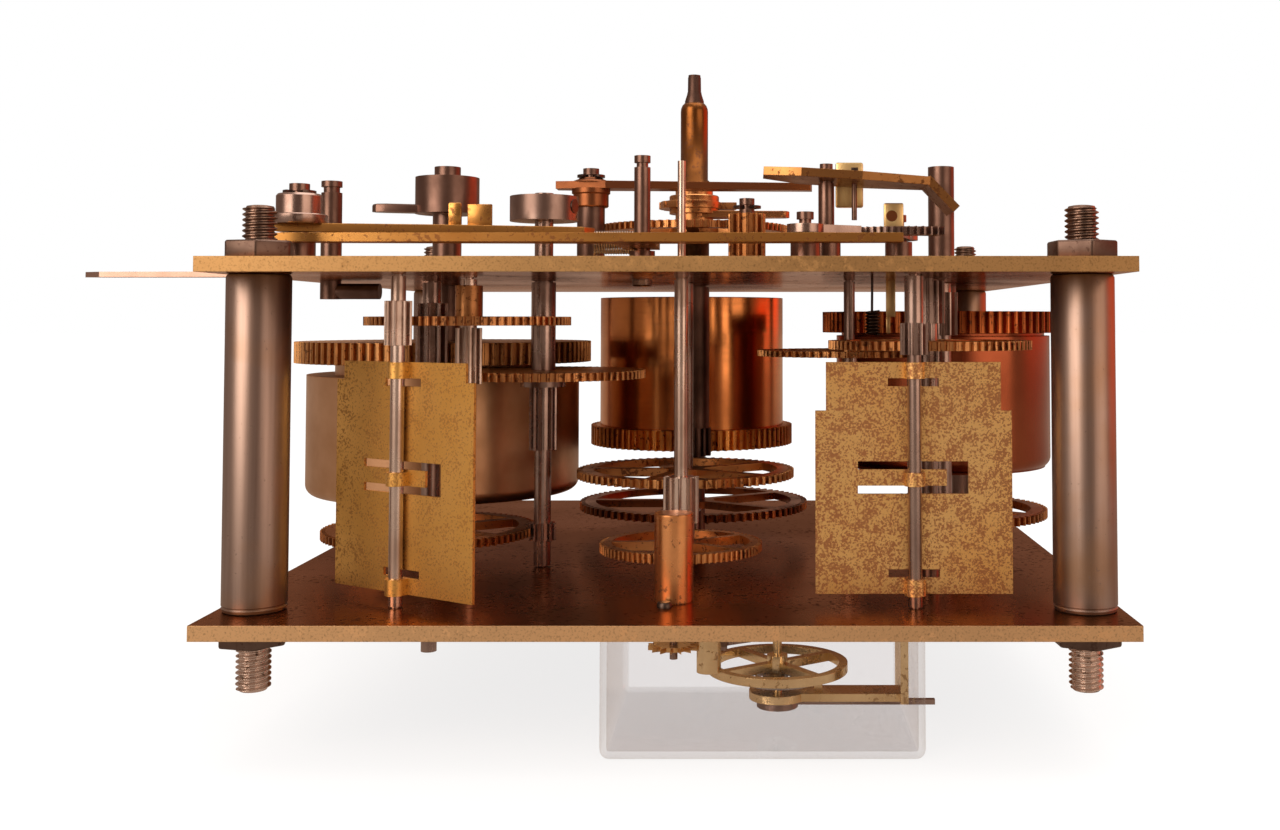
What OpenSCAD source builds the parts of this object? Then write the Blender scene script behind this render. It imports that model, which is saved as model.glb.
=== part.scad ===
// Chime clock movement: three spring driven trains between two brass plates.
// It lies on its back. +X is the strike side, +Y is six o'clock, +Z is the dial side.
// The origin is the middle of the four front studs, on the front plate's outer face.

/* [Plates and pillars] */
// Width of both plates
plate_w = 132.2; // [130:0.1:150]
// Height of both plates, from the 12 o'clock edge to the 6 o'clock edge
plate_h = 128; // [124:1:150]
// Thickness of the front plate
front_t = 2.2; // [1.6:0.1:3]
// Thickness of the back plate
back_t = 2.2; // [1.6:0.1:3]
// Gap between the plates, which is the length of a pillar
plate_gap = 49; // [49:0.5:60]
// Diameter of a pillar
pillar_d = 9.25; // [7:0.25:10]
// Distance between the pillars across the plates
pillar_dx = 121.4; // [118:0.1:122]
// Distance between the pillars up the plates
pillar_dy = 107.2; // [104:0.1:108]

/* [Fixing studs and nuts] */
// Diameter of the studs at the pillars' ends
stud_d = 5; // [4:0.5:6]
// Length of a front stud above its plate
front_stud_l = 8; // [5:0.5:20]
// Length of a back stud below its plate
back_stud_l = 9.5; // [5:0.5:20]
// Width of a nut across its flats
nut_af = 8; // [7:0.5:10]
// Height of a nut
nut_h = 2.6; // [2:0.1:5]

/* [Hand shaft and winding arbors] */
// Place of the hand shaft across the plates
hand_x = 0.5; // [0:0.1:1]
// Place of the hand shaft up the plates
hand_y = 12; // [11:0.1:13]
// Distance from the hand shaft to each side winding arbor
winding_dx = 48.8; // [48:0.1:50]
// Diameter of a winding arbor
winding_d = 5.1; // [4.5:0.1:5.5]
// Height of the winding arbors above the front plate
winding_l = 21.3; // [15:0.1:30]
// Height of the hand shaft's tip above the front plate
hand_l = 39.6; // [30:0.1:60]
// Diameter of the minute pipe on the hand shaft
minute_pipe_d = 5.4; // [5:0.1:6]

/* [Chime train] */
// Module of the chime great wheel
chime_m1 = 0.58; // [0.57:0.01:0.6]
// Module of the chime second wheel
chime_m2 = 0.444; // [0.44:0.001:0.45]
// Module of the chime third wheel
chime_m3 = 0.444; // [0.44:0.001:0.45]
// Module of the chime fourth wheel
chime_m4 = 0.42; // [0.42:0.001:0.43]
// Diameter of the chime drum
chime_drum_d = 52; // [44:0.5:52]

/* [Strike train] */
// Module of the strike great wheel
strike_m1 = 0.574; // [0.57:0.001:0.58]
// Module of the strike second wheel
strike_m2 = 0.443; // [0.44:0.001:0.45]
// Module of the strike third wheel
strike_m3 = 0.479; // [0.475:0.001:0.48]
// Module of the strike fourth wheel
strike_m4 = 0.429; // [0.425:0.001:0.435]
// Diameter of the strike drum
strike_drum_d = 41.4; // [38:0.2:42]

/* [Time train] */
// Module of the time great wheel
time_m1 = 0.5; // [0.5:0.01:0.53]
// Module of the centre wheel
time_m2 = 0.542; // [0.535:0.001:0.545]
// Module of the third wheel
time_m3 = 0.501; // [0.495:0.001:0.505]
// Module of the seconds wheel
time_m4 = 0.32; // [0.315:0.005:0.325]
// Diameter of the time drum
time_drum_d = 39; // [34:0.5:40]

/* [Flies] */
// Width of a fly's blade
fly_w = 29.2; // [24:0.1:29.2]
// Height of a fly's blade
fly_h = 34.2; // [30:0.1:34.4]
// Thickness of the fly's sheet brass
fly_t = 0.5; // [0.4:0.05:0.6]
// Diameter of a fly's arbor
fly_arbor_d = 2.1; // [1.8:0.1:2.4]
// How far the chime fly stands turned about its arbor
chime_fly_turn = -33; // [-80:1:80]
// How far the strike fly stands turned about its arbor
strike_fly_turn = 0; // [-80:1:80]
// Height of the narrower top of the chime fly's blade
chime_fly_top = 2.8; // [2.5:0.1:9]
// Height of the narrower top of the strike fly's blade
strike_fly_top = 7.2; // [2.5:0.1:9]

/* [Wheels and arbors] */
// Thickness of the chime and time great wheels
great_t = 4; // [3:0.1:4.2]
// Thickness of the smaller train wheels
wheel_t = 1.4; // [1:0.1:1.5]
// Diameter of the plain arbors
arbor_d = 2.6; // [2.2:0.1:3]
// Diameter of the pivots in the plates
pivot_d = 1.4; // [1:0.1:1.8]
// Radial clearance of every running fit
run_gap = 0.05; // [0.02:0.01:0.08]
// Endshake left between an arbor's shoulder and a plate
endshake = 0.2; // [0.1:0.05:0.4]

/* [Balance escapement] */
// Outer diameter of the balance
balance_d = 21.8; // [20:0.2:24]
// Width of the clear box
box_w = 47; // [46:0.5:52]
// Depth of the clear box behind the back plate
box_z = 18.6; // [17:0.1:20]
// Length of the clear box up the plates
box_l = 36; // [35:0.5:45]
// Wall of the clear box
box_wall = 1; // [0.8:0.1:1.2]

/* [Front plate levers] */
// Thickness of the brass levers
lever_t = 1.4; // [1:0.1:1.5]
// Width of the long levers
lever_w = 5; // [4:0.1:5.4]
// Length of the selector lever beyond the plate's edge
selector_l = 70; // [50:1:80]

/* [Hidden] */

$fn = 48;
nothing = 0.01;
z_front_in = -front_t;
z_back_in = -front_t - plate_gap;
z_back_out = z_back_in - back_t;
shoulder_top = z_front_in - endshake;
shoulder_bottom = z_back_in + endshake;
pivot_r = pivot_d / 2;
arbor_r = arbor_d / 2;
winding_r = winding_d / 2;
fly_arbor_r = fly_arbor_d / 2;
stud_core_r = stud_d / 2 - 0.4;
winding_body_r = winding_r + 0.25;
winding_low_r = 1.4;
seconds_journal_r = 0.9;

// Teeth of each wheel and leaves of the pinion that it drives
chime_n = [[96, 8], [80, 9], [78, 8], [76, 8]];
strike_n = [[80, 8], [80, 9], [64, 9], [74, 8]];
time_n = [[84, 12], [80, 10], [75, 10], [80, 8]];

// Directions from each arbor to the next one, anticlockwise from +X as seen from the dial
chime_dir = [-81.6, -4.1, -119.4, -113.4];
strike_dir = [-98, -150.8, -47.1, -104.8];
time_dir = [-86.4, -90.8, -89.1, -91.2];
minute_dir = -60;

function spacing(m, n) = m * (n[0] + n[1]) / 2;
function beside(p, r, a) = [p[0] + r * cos(a), p[1] + r * sin(a)];
// Turns the driven gear so that one of its gaps faces a tooth of the driving gear, whose first tooth is on +X
function mesh_turn(n, dir) = dir + 180 + dir * n[0] / n[1] + 180 / n[1];

hand_at = [hand_x, hand_y];
chime1 = [hand_x - winding_dx, hand_y];
chime2 = beside(chime1, spacing(chime_m1, chime_n[0]), chime_dir[0]);
chime3 = beside(chime2, spacing(chime_m2, chime_n[1]), chime_dir[1]);
chime4 = beside(chime3, spacing(chime_m3, chime_n[2]), chime_dir[2]);
chime5 = beside(chime4, spacing(chime_m4, chime_n[3]), chime_dir[3]);
strike1 = [hand_x + winding_dx, hand_y];
strike2 = beside(strike1, spacing(strike_m1, strike_n[0]), strike_dir[0]);
strike3 = beside(strike2, spacing(strike_m2, strike_n[1]), strike_dir[1]);
strike4 = beside(strike3, spacing(strike_m3, strike_n[2]), strike_dir[2]);
strike5 = beside(strike4, spacing(strike_m4, strike_n[3]), strike_dir[3]);
time1 = beside(hand_at, -spacing(time_m1, time_n[0]), time_dir[0]);
time3 = beside(hand_at, spacing(time_m2, time_n[1]), time_dir[1]);
time4 = beside(time3, spacing(time_m3, time_n[2]), time_dir[2]);
time5 = beside(time4, spacing(time_m4, time_n[3]), time_dir[3]);

// Motion work: the cannon pinion drives the minute wheel, whose pinion drives the hour wheel
motion_m = 0.5;
cannon_n = [28, 56];
hour_n = [12, 72];
minute_at = beside(hand_at, spacing(motion_m, cannon_n), minute_dir);

// Heights of the wheels' upper faces
z_chime_great = -13;
z_chime_second = -44.6;
z_chime_third = -17.5;
z_chime_fourth = -8.4;
z_strike_great = -7.3;
z_strike_second = -41.8;
z_strike_third = -14;
z_strike_fourth = -12.2;
strike_third_t = 1;
z_time_great = -31;
z_centre = -44;
z_third = -35.2;
z_seconds = -44.6;
z_fly = -15.2;
strike_great_t = 4;

// Shapes

// Outline of a gear: n teeth of module m, the first on +X, with its teeth's width as a share of the pitch
module gear_outline(n, m, share) {
  r = n * m / 2;
  half = 360 / n * share / 2;
  shape = [[-1.15, 1], [0.25, 0.88], [0.85, 0.38]];
  polygon([for (i = [0 : n - 1]) each [
    for (k = [0 : 5])
      let (row = k < 3 ? shape[k] : shape[5 - k], side = k < 3 ? -1 : 1)
      let (a = 360 / n * i + side * half * row[1], q = r + m * row[0])
      [q * cos(a), q * sin(a)]]]);
}

module at(p, z = 0) {
  translate([p[0], p[1], z]) children();
}

// A straight round piece between two heights
module rod(r, top, bottom) {
  translate([0, 0, bottom]) cylinder(h = top - bottom, r = r);
}

// A brass wheel with its upper face at z, its spokes and a bore for the arbor
module wheel(n, m, t, z, bore_r, spokes, rim, hub_r) {
  inner = n * m / 2 - 1.15 * m - rim;
  translate([0, 0, z - t]) linear_extrude(t) difference() {
    gear_outline(n, m, 0.44);
    circle(r = bore_r);
    if (spokes > 0) {
      for (i = [0 : spokes - 1]) rotate(360 / spokes * i) window(inner, hub_r, spokes, rim);
    }
  }
}

// One opening between two spokes
module window(outer, inner, spokes, web) {
  reach = outer * 1.5;
  turn = 180 / spokes;
  difference() {
    intersection() {
      circle(r = outer);
      polygon([[0, 0], [reach * cos(turn), -reach * sin(turn)], [reach * 1.2, 0], [reach * cos(turn), reach * sin(turn)]]);
    }
    circle(r = inner);
    for (s = [-1, 1]) rotate(s * turn) translate([0, -web / 2]) square([reach, web]);
  }
}

// The leaves of a steel pinion between two heights
module pinion(n, m, top, bottom, turn) {
  translate([0, 0, bottom]) rotate(turn) linear_extrude(top - bottom) gear_outline(n, m, 0.36);
}

// An arbor with a pivot at each end, which reaches through both plates' holes
module arbor(r) {
  rod(pivot_r, -0.1, shoulder_top - nothing);
  rod(r, shoulder_top, shoulder_bottom);
  rod(pivot_r, shoulder_bottom + nothing, z_back_out + 0.1);
}

pivots = [chime3, chime4, chime5, strike2, strike3, strike4, strike5, time3];

module plate_holes(top, bottom, winding_hole) {
  for (p = pivots) at(p) rod(pivot_r + run_gap, top, bottom);
  for (p = [chime1, strike1, time1]) at(p) rod(winding_hole + run_gap, top, bottom);
}

module at_pillars() {
  for (x = [-1, 1], y = [-1, 1]) translate([x * pillar_dx / 2, y * pillar_dy / 2, 0]) children();
}

module plate_blank(t, z) {
  translate([-plate_w / 2, -plate_h / 2, z - t]) cube([plate_w, plate_h, t]);
}

centre_r = 2.4;
second_r = 1.6;
collar_r = 1.6;
drive_end_r = 1.35;

module front_plate() {
  color("peru") difference() {
    plate_blank(front_t, 0);
    plate_holes(1, z_front_in - 1, winding_body_r);
    at(chime2) rod(pivot_r + run_gap, 1, z_front_in - 1);
    at(chime3) rod(collar_r + run_gap, 1, z_front_in - 1);
    at(time4) rod(seconds_journal_r + run_gap, 1, z_front_in - 1);
    at(hand_at) rod(centre_r + run_gap, 1, z_front_in - 1);
    at(lever_arbor_at) rod(lever_arbor_r + run_gap, 1, z_front_in - 1);
    at_pillars() rod(stud_core_r, 1, z_front_in - 1);
  }
}

module back_plate() {
  color("sienna") difference() {
    plate_blank(back_t, z_back_in);
    plate_holes(z_back_in + 1, z_back_out - 1, winding_low_r);
    at(chime2) rod(second_r + run_gap, z_back_in + 1, z_back_out - 1);
    at(hand_at) rod(pivot_r + run_gap, z_back_in + 1, z_back_out - 1);
    at(time4) rod(seconds_journal_r + run_gap, z_back_in + 1, z_back_out - 1);
    at(time5) rod(escape_r + 0.5, z_back_in + 1, z_back_out - 1);
    at_pillars() rod(stud_core_r, z_back_in + 1, z_back_out - 1);
  }
}

module pillars() {
  color("rosybrown") at_pillars() difference() {
    rod(pillar_d / 2, z_front_in, z_back_in);
    rod(stud_core_r, 1, z_back_in - 1);
  }
}

// Each stud runs on through its pillar, thinner where it is hidden
module studs() {
  color("dimgray") at_pillars() {
    rod(stud_d / 2, front_stud_l, nut_h);
    rod(stud_core_r, nut_h + nothing, z_back_out - nut_h - nothing);
    rod(stud_d / 2, z_back_out - nut_h, z_back_out - back_stud_l);
  }
}

module nut(z) {
  translate([0, 0, z]) difference() {
    intersection() {
      cylinder(h = nut_h, r = nut_af / sqrt(3), $fn = 6);
      rod(nut_af / sqrt(3) - 0.15, nut_h, 0);
    }
    rod(stud_core_r, nut_h + 1, -1);
  }
}

module nuts() {
  color("dimgray") at_pillars() {
    nut(0);
    nut(z_back_out - nut_h);
  }
}

// Drums: a hollow can with a floor and a rolled edge, closed by its great wheel or lid
drum_wall = 1.4;

module drum(r, top, bottom, neck_r, neck_h) {
  edge = 2;
  rotate_extrude() difference() {
    union() {
      translate([0, bottom]) square([r - edge, top - bottom - neck_h]);
      translate([0, bottom + edge]) square([r, top - bottom - neck_h - edge]);
      translate([r - edge, bottom + edge]) circle(r = edge);
      translate([0, bottom]) square([neck_r, top - bottom]);
    }
    translate([-r, bottom - 1]) square([r + winding_body_r + run_gap, top - bottom + 2]);
    translate([0, bottom + drum_wall]) square([neck_r - drum_wall, top - bottom]);
    translate([-1, bottom - 50]) square([1, 100]);
  }
}

z_chime_drum = z_chime_great - great_t;
z_chime_floor = -42;
chime_neck_h = wheel_t + z_chime_drum - z_chime_third + 0.4;
chime_neck_r = 20.8;

module chime_drum() {
  color("tan") at(chime1) drum(chime_drum_d / 2, z_chime_drum, z_chime_floor, chime_neck_r, chime_neck_h);
}

module chime_great_wheel() {
  color("peru") at(chime1) wheel(chime_n[0][0], chime_m1, great_t, z_chime_great, winding_body_r + run_gap, 0, 0, 0);
}

z_strike_drum = z_strike_great - strike_great_t;
z_strike_floor = -37;

module strike_drum() {
  color("tan") at(strike1) drum(strike_drum_d / 2, z_strike_drum, z_strike_floor, strike_drum_d / 2 - 1, 0.6);
}

module strike_great_wheel() {
  color("peru") at(strike1) {
    wheel(strike_n[0][0], strike_m1, strike_great_t, z_strike_great, winding_body_r + run_gap, 0, 0, 0);
  }
}

// The time drum stands on its great wheel, with its lid towards the dial
z_time_lid = -4.2;

module time_drum() {
  color("peru") at(time1) difference() {
    rod(time_drum_d / 2, z_time_lid, z_time_great);
    rod(time_drum_d / 2 - drum_wall, z_time_lid - drum_wall, z_time_great - 1);
    rod(winding_body_r + run_gap, z_time_lid + 1, z_time_great - 1);
  }
}

module time_great_wheel() {
  color("peru") at(time1) wheel(time_n[0][0], time_m1, great_t, z_time_great, winding_body_r + run_gap, 0, 0, 0);
}

// A winding arbor with its ratchet wheel outside the front plate and a hub inside its drum
ratchet_n = 20;
ratchet_r = 8;
ratchet_t = 1.8;

module ratchet_outline() {
  polygon([for (i = [0 : ratchet_n - 1], k = [0, 1])
    let (a = 360 / ratchet_n * (i + k * 0.12), q = k == 0 ? ratchet_r - 1.1 : ratchet_r)
    [q * cos(a), q * sin(a)]]);
}

module winding_arbor(body_top, hub_top, hub_bottom, body_bottom) {
  rod(winding_r, winding_l, body_top - nothing);
  rod(winding_body_r, body_top, body_bottom);
  rod(winding_low_r, body_bottom + nothing, z_back_out + 0.1);
  rod(winding_r + 2, hub_top - 2, hub_bottom + 2);
  translate([0, 0, 0.4]) linear_extrude(ratchet_t) ratchet_outline();
}

collar_top = 19.2;
collar_bottom = 12;
winding_collar_r = 6.2;

module chime_winding_arbor() {
  color("gray") at(chime1) {
    winding_arbor(collar_bottom + 1, z_chime_drum, z_chime_floor, z_chime_floor - 0.2);
    rod(winding_collar_r, collar_top, collar_bottom);
  }
}

module strike_winding_arbor() {
  color("gray") at(strike1) winding_arbor(0.5, z_strike_drum, z_strike_floor, z_strike_floor - 0.2);
}

module time_winding_arbor() {
  color("gray") at(time1) winding_arbor(0.5, z_time_lid, z_time_great, z_time_great - great_t - 0.2);
}

// A steel click beside each ratchet wheel, on its screw
click_reach = 11.5;

module click() {
  difference() {
    linear_extrude(ratchet_t) polygon([[7.9, -4.4], [8.5, -5.2], [click_reach + 1.6, -1.4], [click_reach + 1.6, 1.4], [click_reach - 1.4, 1.4]]);
    translate([click_reach, 0, 0]) rod(1.1, ratchet_t + 1, -1);
  }
  translate([click_reach, 0, 0]) {
    rod(1.1, ratchet_t + 0.4, -0.4);
    translate([0, 0, ratchet_t]) rod(1.9, 0.8, 0);
  }
}

module ratchet_clicks() {
  color("gray") for (p = [chime1, strike1, time1]) at(p, 0.4) rotate(100) click();
}

// Chime train
fluted_r = 1.45;

module chime_second_arbor() {
  color("gray") at(chime2) {
    rod(pivot_r, -0.1, shoulder_top - nothing);
    rod(second_r, shoulder_top, shoulder_bottom);
    rod(second_r, shoulder_bottom + nothing, z_back_out - 0.3);
    rod(drive_end_r, z_back_out - 0.3 + nothing, z_back_out - 12.6);
    pinion(chime_n[0][1], chime_m1, -6, z_chime_great - great_t - 0.2, mesh_turn(chime_n[0], chime_dir[0]));
  }
}

module chime_second_wheel() {
  color("peru") at(chime2) {
    wheel(chime_n[1][0], chime_m2, wheel_t, z_chime_second, second_r, 5, 2, 4);
  }
}

chime_cam_r = 5.9;
chime_cam_z = [12.5, 8.2];

module chime_third_arbor() {
  turn = mesh_turn(chime_n[1], chime_dir[1]);
  color("gray") at(chime3) {
    rod(collar_r, chime_cam_z[0] + 0.6, shoulder_top - nothing);
    rod(2.1, shoulder_top, z_chime_third - nothing);
    rod(3.9, z_chime_third - wheel_t, z_chime_third - wheel_t - 1.5);
    rod(fluted_r, z_chime_third, shoulder_bottom);
    pinion(chime_n[1][1], chime_m2, z_chime_third - wheel_t - 1.5, -31.3, turn);
    pinion(chime_n[1][1], chime_m2, z_chime_second + 0.8, z_chime_second - wheel_t - 0.8, turn);
    rod(pivot_r, shoulder_bottom + nothing, z_back_out + 0.1);
    rod(chime_cam_r, chime_cam_z[0], chime_cam_z[1]);
  }
}

module chime_third_wheel() {
  color("peru") at(chime3) wheel(chime_n[2][0], chime_m3, wheel_t, z_chime_third, fluted_r, 0, 0, 0);
}

module chime_fourth_arbor() {
  turn = mesh_turn(chime_n[2], chime_dir[2]);
  color("gray") at(chime4) {
    arbor(arbor_r);
    pinion(chime_n[2][1], chime_m3, -10.2, -19.2, turn);
  }
}

module chime_fourth_wheel() {
  color("peru") at(chime4) {
    wheel(chime_n[3][0], chime_m4, wheel_t, z_chime_fourth, arbor_r, 4, 1.8, 2.6);
    difference() {
      rod(2.2, -3.4, z_chime_fourth);
      rod(arbor_r, 0, z_chime_fourth - 1);
    }
  }
}

module fly_arbor(n, m, top, bottom, turn, upper_r) {
  arbor(fly_arbor_r);
  rod(upper_r, shoulder_top, top);
  pinion(n, m, top, bottom, turn);
}

module chime_fly_arbor() {
  color("gray") at(chime5) {
    fly_arbor(chime_n[3][1], chime_m4, -6.1, -12.7, mesh_turn(chime_n[3], chime_dir[3]), 1.1);
  }
}

// The blade's outline, slots and tongue, drawn flat with the arbor on the Y axis and the top at 0
slot_w = 7.6;
slot_h = 1.2;
strap_h = 2.4;
tongue_w = 12.6;

module fly_outline(drop) {
  top_w = fly_w - 3.2;
  difference() {
    union() {
      translate([-top_w / 2, -drop - 1]) square([top_w, drop + 1]);
      translate([-fly_w / 2, -fly_h]) square([fly_w, fly_h - drop]);
    }
    translate([-slot_w / 2, -strap_h - slot_h]) square([slot_w, slot_h]);
    translate([-slot_w / 2, -fly_h + strap_h]) square([slot_w, slot_h]);
    translate([-tongue_w / 2 - 2, -fly_h / 2 + 1.2]) square([tongue_w + 2, slot_h]);
    translate([-tongue_w / 2 - 2, -fly_h / 2 - 2.4]) square([tongue_w + 2, slot_h]);
    translate([tongue_w / 2 - 1.4, -fly_h / 2 - 2.4]) square([3.2, 4.8]);
  }
}

// A strap of the same sheet bent round the arbor
module strap(top, h) {
  difference() {
    union() {
      rod(fly_arbor_r + fly_t, top, top - h);
      translate([-fly_arbor_r - fly_t, 0, top - h]) cube([fly_arbor_d + 2 * fly_t, fly_arbor_r + fly_t, h]);
    }
    rod(fly_arbor_r, top + 1, top - h - 1);
    translate([-50, fly_arbor_r, -100]) cube([100, 50, 200]);
  }
}

module fly(turn, drop) {
  rotate(turn) {
    translate([0, fly_arbor_r + fly_t, z_fly]) rotate([90, 0, 0]) linear_extrude(fly_t) fly_outline(drop);
    strap(z_fly, strap_h);
    strap(z_fly - fly_h + strap_h, strap_h);
    strap(z_fly - fly_h / 2 + 0.9, 2);
  }
}

module chime_fly() {
  color("darkgoldenrod") at(chime5) fly(chime_fly_turn, chime_fly_top);
}

// Strike train

module strike_second_arbor() {
  color("gray") at(strike2) {
    arbor(second_r);
    pinion(strike_n[0][1], strike_m1, -4, z_strike_great - strike_great_t - 0.3, mesh_turn(strike_n[0], strike_dir[0]));
  }
}

module strike_second_wheel() {
  color("peru") at(strike2) {
    wheel(strike_n[1][0], strike_m2, wheel_t, z_strike_second, second_r, 5, 2, 4);
  }
}

// Its upper end is thin, so that the fourth wheel's teeth pass it
module strike_third_arbor() {
  color("gray") at(strike3) {
    rod(pivot_r, -0.1, shoulder_top - nothing);
    rod(0.95, shoulder_top, z_strike_third + 0.1 + nothing);
    rod(arbor_r, z_strike_third + 0.1, shoulder_bottom);
    rod(pivot_r, shoulder_bottom + nothing, z_back_out + 0.1);
    pinion(strike_n[1][1], strike_m2, z_strike_second + 2, z_strike_second - 3.5, mesh_turn(strike_n[1], strike_dir[1]));
  }
}

module strike_third_wheel() {
  color("peru") at(strike3) {
    wheel(strike_n[2][0], strike_m3, strike_third_t, z_strike_third, arbor_r, 4, 1.8, 2.6);
  }
}

module strike_fourth_arbor() {
  turn = mesh_turn(strike_n[2], strike_dir[2]);
  color("gray") at(strike4) {
    arbor(arbor_r);
    pinion(strike_n[2][1], strike_m3, -2.6, -9.5, turn);
    pinion(strike_n[2][1], strike_m3, z_strike_fourth - wheel_t, -18, turn);
  }
}

module strike_fourth_wheel() {
  color("peru") at(strike4) {
    wheel(strike_n[3][0], strike_m4, wheel_t, z_strike_fourth, arbor_r, 4, 1.8, 2.6);
  }
}

module strike_fly_arbor() {
  color("gray") at(strike5) {
    fly_arbor(strike_n[3][1], strike_m4, -9.4, -14.1, mesh_turn(strike_n[3], strike_dir[3]), 1.4);
  }
}

module strike_fly() {
  color("darkgoldenrod") at(strike5) fly(strike_fly_turn, strike_fly_top);
}

// Time train

module centre_arbor() {
  color("gray") at(hand_at) {
    rod(1.2, hand_l, 30);
    rod(1.6, hand_l - 5.4, shoulder_top - 2);
    rod(centre_r, 0.4, shoulder_top - nothing);
    rod(centre_r + 0.6, shoulder_top, z_time_great + 1);
    rod(centre_r - 0.2, z_time_great + 1 + nothing, shoulder_bottom);
    rod(pivot_r, shoulder_bottom + nothing, z_back_out + 0.1);
    pinion(time_n[0][1], time_m1, z_time_great + 1, z_time_great - great_t - 0.4, mesh_turn(time_n[0], time_dir[0]));
  }
}

module centre_wheel() {
  color("saddlebrown") at(hand_at) wheel(time_n[1][0], time_m2, wheel_t, z_centre, centre_r - 0.2, 5, 2, 4);
}

module time_third_arbor() {
  color("gray") at(time3) {
    arbor(arbor_r);
    pinion(time_n[1][1], time_m2, z_centre + 1.5, z_centre - wheel_t - 1.2, mesh_turn(time_n[1], time_dir[1]));
  }
}

module time_third_wheel() {
  color("peru") at(time3) wheel(time_n[2][0], time_m3, wheel_t, z_third, arbor_r, 5, 2, 3.4);
}

seconds_r = 0.65;
seconds_l = 17;
seconds_shaft_r = 1.15;

module seconds_arbor() {
  color("gray") at(time4) {
    rod(seconds_r, seconds_l, 0.3 - nothing);
    rod(seconds_journal_r, 0.3, shoulder_top - nothing);
    rod(seconds_shaft_r, shoulder_top, shoulder_bottom);
    rod(seconds_journal_r, shoulder_bottom + nothing, z_back_out + 0.1);
    pinion(time_n[2][1], time_m3, z_third + 1, -41.6, mesh_turn(time_n[2], time_dir[2]));
    rod(2.2, -41.6, z_seconds);
  }
}

module seconds_wheel() {
  color("peru") at(time4) wheel(time_n[3][0], time_m4, wheel_t, z_seconds, seconds_shaft_r, 5, 1.3, 2.6);
}

// The escape arbor runs in a brass sleeve on the back plate, open at the back for the seconds wheel
sleeve_r = 2.95;
sleeve_top = -39;
escape_r = 0.6;
z_escape = -57.6;

module escape_arbor() {
  color("gray") at(time5) {
    rod(escape_r, sleeve_top - 0.3, z_escape - 2.2);
    pinion(time_n[3][1], time_m4, z_seconds + 1.2, z_seconds - wheel_t - 1.2, mesh_turn(time_n[3], time_dir[3]));
  }
}

module escape_sleeve() {
  color("darkgoldenrod") at(time5) difference() {
    rod(sleeve_r, sleeve_top + 1, z_back_in);
    rod(2, z_seconds + 2, z_back_in - 1);
    rod(escape_r + run_gap, sleeve_top - 0.2, z_back_in - 1);
    translate([-5, 0.2, z_seconds - wheel_t - 1]) cube([10, 10, wheel_t + 2]);
  }
}

escape_wheel_r = 3.9;

module escape_outline() {
  polygon([for (i = [0 : 14], k = [0 : 2])
    let (a = 24 * (i + [0, 0.1, 0.35][k]), q = [escape_wheel_r - 1.4, escape_wheel_r, escape_wheel_r - 1.3][k])
    [q * cos(a), q * sin(a)]]);
}

module escape_wheel() {
  color("goldenrod") at(time5, z_escape - 0.7) linear_extrude(0.7) difference() {
    escape_outline();
    circle(r = escape_r);
  }
}

// Motion work
z_hour = 9.6;
hour_pipe_r = 3.7;
hour_top = 18;
minute_t = 1.2;

module cannon_pinion() {
  color("goldenrod") at(hand_at) difference() {
    union() {
      translate([0, 0, 0.8]) linear_extrude(minute_t + 0.6) gear_outline(cannon_n[0], motion_m, 0.4);
      rod(minute_pipe_d / 2 + 0.25, hour_top + 0.6, 1);
      rod(minute_pipe_d / 2, hand_l - 5.5, 1);
    }
    rod(1.6, hand_l, -1);
    rod(centre_r, 0.4 + run_gap, -1);
  }
}

module minute_wheel() {
  turn = mesh_turn(cannon_n, minute_dir);
  color("peru") at(minute_at) difference() {
    union() {
      rotate(turn) translate([0, 0, 1]) linear_extrude(minute_t) gear_outline(cannon_n[1], motion_m, 0.4);
      rotate(turn) translate([0, 0, 1]) linear_extrude(z_hour) gear_outline(hour_n[0], motion_m, 0.36);
    }
    rod(minute_post_r + run_gap, 20, -1);
  }
}

module hour_wheel() {
  // The minute pinion's first leaf is turned with the minute wheel
  turn = mesh_turn(cannon_n, minute_dir);
  dir = minute_dir + 180;
  hour_turn = dir + 180 + (dir - turn) * hour_n[0] / hour_n[1] + 180 / hour_n[1];
  color("peru") at(hand_at) difference() {
    union() {
      translate([0, 0, z_hour - wheel_t]) rotate(hour_turn) linear_extrude(wheel_t) difference() {
        gear_outline(hour_n[1], motion_m, 0.4);
        for (i = [0 : 4]) rotate(72 * i) window(15, 5.5, 5, 2.4);
      }
      rod(hour_pipe_r, hour_top, z_hour - wheel_t);
    }
    rod(minute_pipe_d / 2 + 0.25 + run_gap, 40, -1);
  }
}

// Balance escapement behind the back plate
balance_at = [15.9, -41];
base_t = 0.8;
base_w = box_w - 2 * box_wall - 2.6;
base_l = box_l - 2.6;
z_base = z_back_out - base_t;
box_at = [13.5, -39];
z_balance = -61.8;
staff_r = 0.7;

module escapement_base() {
  color("goldenrod") difference() {
    translate([box_at[0] - box_w / 2 + box_wall + 0.1, box_at[1] - base_l / 2, z_base]) cube([base_w, base_l, base_t]);
    at(time5) rod(escape_r + run_gap, z_base + 5, z_base - 5);
    at(balance_at) rod(staff_r + run_gap, z_base + 5, z_base - 5);
    at(pallet_at) rod(pallet_r + run_gap, z_base + 5, z_base - 5);
  }
  color("goldenrod") translate([5.6, -51.2, 0]) rod(1.8, z_base, z_base - 6.6);
}

pallet_at = [7.6, -44.8];
pallet_r = 0.6;

module pallet_lever() {
  color("gray") at(pallet_at) {
    rod(pallet_r, z_back_out - 0.1, z_escape - 1.6);
    translate([0, 0, z_escape - 0.8]) linear_extrude(0.7) {
      polygon([[-2.6, -3.4], [-1.8, -3.6], [0.8, -0.6], [4.2, 1.4], [4.2, 2.2], [0, 1], [-2.4, 3.6], [-3, 3.2], [-1, 0]]);
    }
  }
}

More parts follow.
